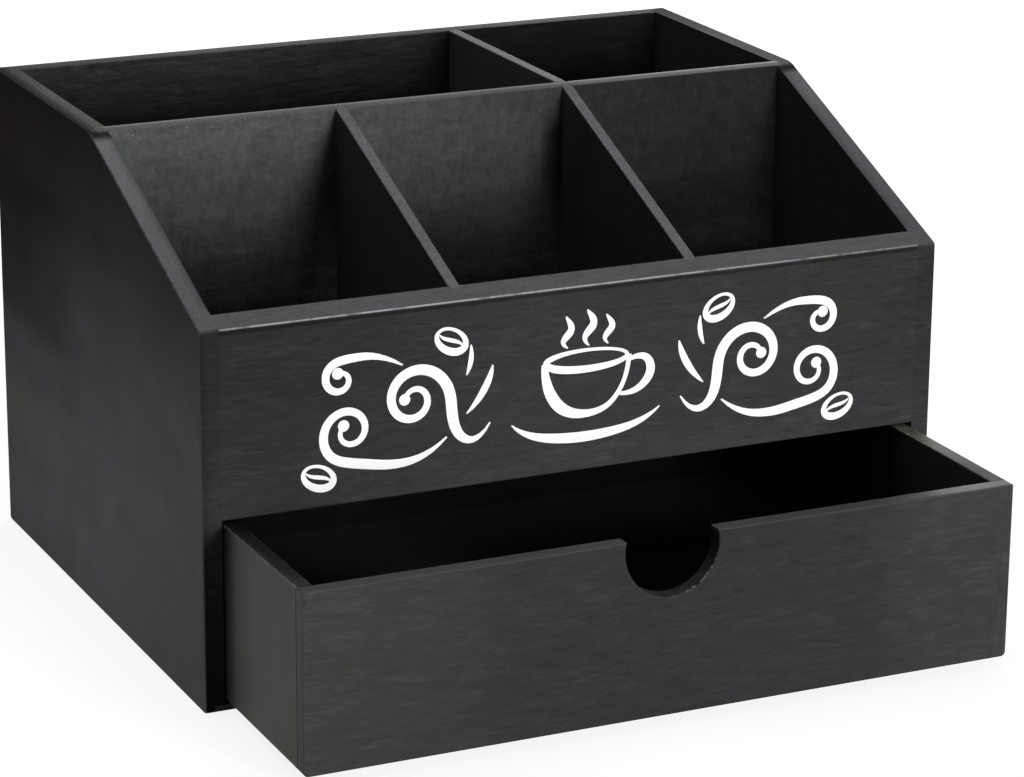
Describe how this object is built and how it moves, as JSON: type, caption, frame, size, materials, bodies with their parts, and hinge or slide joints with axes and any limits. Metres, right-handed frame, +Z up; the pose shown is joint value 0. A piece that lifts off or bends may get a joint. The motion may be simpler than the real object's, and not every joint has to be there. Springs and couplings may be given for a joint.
{
  "type": "coffee station organizer",
  "caption": "Open tabletop organizer in black-painted wood with a sloping front, divided compartments and a pull-out drawer with a finger notch.",
  "frame": {"origin": "centre of the case's footprint, on the table under the base", "axes": "+Z up, the drawer opens towards -Y, +X to the right as seen from the front"},
  "size_m": [0.31, 0.318, 0.198],
  "materials": {
    "side_paint": "matt black paint, brushed along the grain",
    "front_paint": "matt black paint with fine level brush marks",
    "divider_paint": "matt black paint, mottled by crossed brush marks",
    "drawer_paint": "matt black paint with fine level brush marks",
    "drawer_wall_paint": "matt black paint",
    "sheet_paint": "thin matt black paint on plywood",
    "brad_steel": "bright drawn wire",
    "white_transfer": "matt white transfer film"
  },
  "bodies": {
    "case": {"left_side_panel": "side_paint", "right_side_panel": "side_paint", "front_panel": "front_paint", "back_panel": "side_paint", "compartment_floor": "divider_paint", "base_panel": "sheet_paint", "long_divider": "divider_paint", "rear_divider": "divider_paint", "front_divider_1": "divider_paint", "front_divider_2": "divider_paint", "left_side_brads": "brad_steel", "right_side_brads": "brad_steel", "base_brads": "brad_steel", "rear_divider_brads": "brad_steel", "front_divider_brads": "brad_steel"},
    "drawer": {"drawer_front": "drawer_paint", "drawer_left_side": "drawer_wall_paint", "drawer_right_side": "drawer_wall_paint", "drawer_back": "drawer_wall_paint", "drawer_bottom": "sheet_paint", "drawer_front_brads": "brad_steel", "drawer_back_brads": "brad_steel"}
  },
  "joints": [
    {"name": "drawer_slide", "type": "slide", "parent": "case", "child": "drawer", "axis": [0, -1, 0], "range_m": [-0.078, 0.158]}
  ]
}
